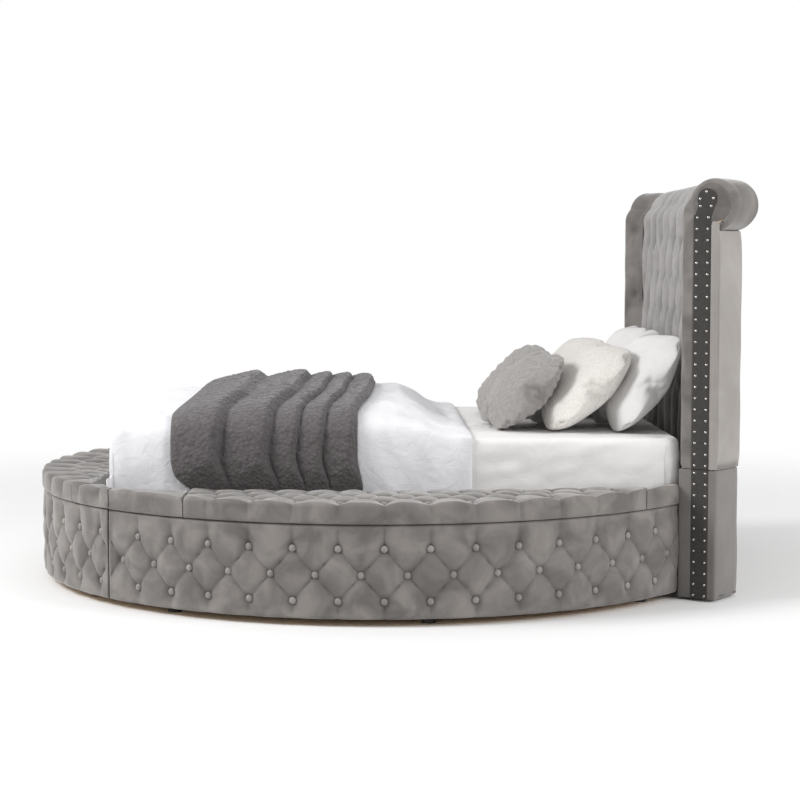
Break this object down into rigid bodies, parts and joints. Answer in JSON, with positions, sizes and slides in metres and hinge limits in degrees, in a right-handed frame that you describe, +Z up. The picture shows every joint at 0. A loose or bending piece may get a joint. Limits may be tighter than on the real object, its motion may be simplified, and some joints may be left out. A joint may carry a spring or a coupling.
{
  "type": "round storage bed",
  "caption": "Round storage bed with a tufted velvet ring of lidded boxes, a winged scroll-top tufted headboard and a dressed mattress.",
  "frame": {"origin": "on the floor at the centre of the ring, under the middle leg", "axes": "+Y to the headboard, +Z up, +X to the right as seen from the foot of the bed"},
  "size_m": [2.65, 2.6615, 1.485],
  "materials": {
    "grey_velvet": "grey velvet, tufted",
    "cover_velvet": "grey velvet, plain",
    "dark_trim": "dark grey woven trim",
    "nickel_nails": "polished nickel",
    "black_plastic": "moulded, matt",
    "zinc_steel": "zinc plated",
    "pine": "planed",
    "plywood": "sanded birch plywood",
    "mattress_ticking": "white ticking and fitted sheet",
    "duvet_cotton": "white cotton",
    "quilted_throw": "dark grey quilted",
    "pillow_cotton": "white cotton",
    "plush": "cream plush",
    "ruched_satin": "grey ruched satin"
  },
  "bodies": {
    "bed": {"bare_pillows": "pillow_cotton", "beam_brackets": "zinc_steel", "box_dividers": "plywood", "bracket_bolts": "zinc_steel", "centre_beam": "pine", "centre_legs": "pine", "duvet": "duvet_cotton", "foot_box_corner_pads": "grey_velvet", "foot_box_floor": "plywood", "foot_inner_wall": "plywood", "foot_outer_wall": "plywood", "foot_skirt": "grey_velvet", "headboard_back_cover": "cover_velvet", "headboard_base": "cover_velvet", "headboard_buttons": "grey_velvet", "headboard_frame": "pine", "headboard_glides": "black_plastic", "headboard_main_pad": "grey_velvet", "hinge_fixed_leaves": "zinc_steel", "hinge_pins": "zinc_steel", "left_box_floor": "plywood", "left_inner_wall": "plywood", "left_outer_wall": "plywood", "left_skirt": "grey_velvet", "left_wing_pad": "grey_velvet", "mattress": "mattress_ticking", "plush_pillows": "plush", "rail_boards": "plywood", "rail_pads": "grey_velvet", "right_box_floor": "plywood", "right_inner_wall": "plywood", "right_outer_wall": "plywood", "right_skirt": "grey_velvet", "right_wing_pad": "grey_velvet", "ring_feet": "black_plastic", "ruched_cushions": "ruched_satin", "scroll_core": "plywood", "side_foot_corner_pads": "grey_velvet", "side_head_corner_pads": "grey_velvet", "skirt_buttons": "grey_velvet", "slat_ledges": "pine", "slats": "pine", "throw": "quilted_throw", "trim_nails": "nickel_nails", "wing_trim_bands": "dark_trim"},
    "right_lid": {"right_lid_board": "plywood", "right_lid_buttons": "grey_velvet", "right_lid_leaves": "zinc_steel", "right_lid_pad": "grey_velvet"},
    "left_lid": {"left_lid_board": "plywood", "left_lid_buttons": "grey_velvet", "left_lid_leaves": "zinc_steel", "left_lid_pad": "grey_velvet"},
    "foot_lid": {"foot_lid_board": "plywood", "foot_lid_buttons": "grey_velvet", "foot_lid_leaves": "zinc_steel", "foot_lid_pad": "grey_velvet"}
  },
  "joints": [
    {"name": "right_lid_hinge", "type": "hinge", "parent": "bed", "child": "right_lid", "pos_m": [0.85, 0, 0.3528], "axis": [0, -1, 0], "range_deg": [0, 70]},
    {"name": "left_lid_hinge", "type": "hinge", "parent": "bed", "child": "left_lid", "pos_m": [-0.85, 0, 0.3528], "axis": [0, 1, 0], "range_deg": [0, 70]},
    {"name": "foot_lid_hinge", "type": "hinge", "parent": "bed", "child": "foot_lid", "pos_m": [0, -1.04, 0.3528], "axis": [-1, 0, 0], "range_deg": [0, 70]}
  ]
}
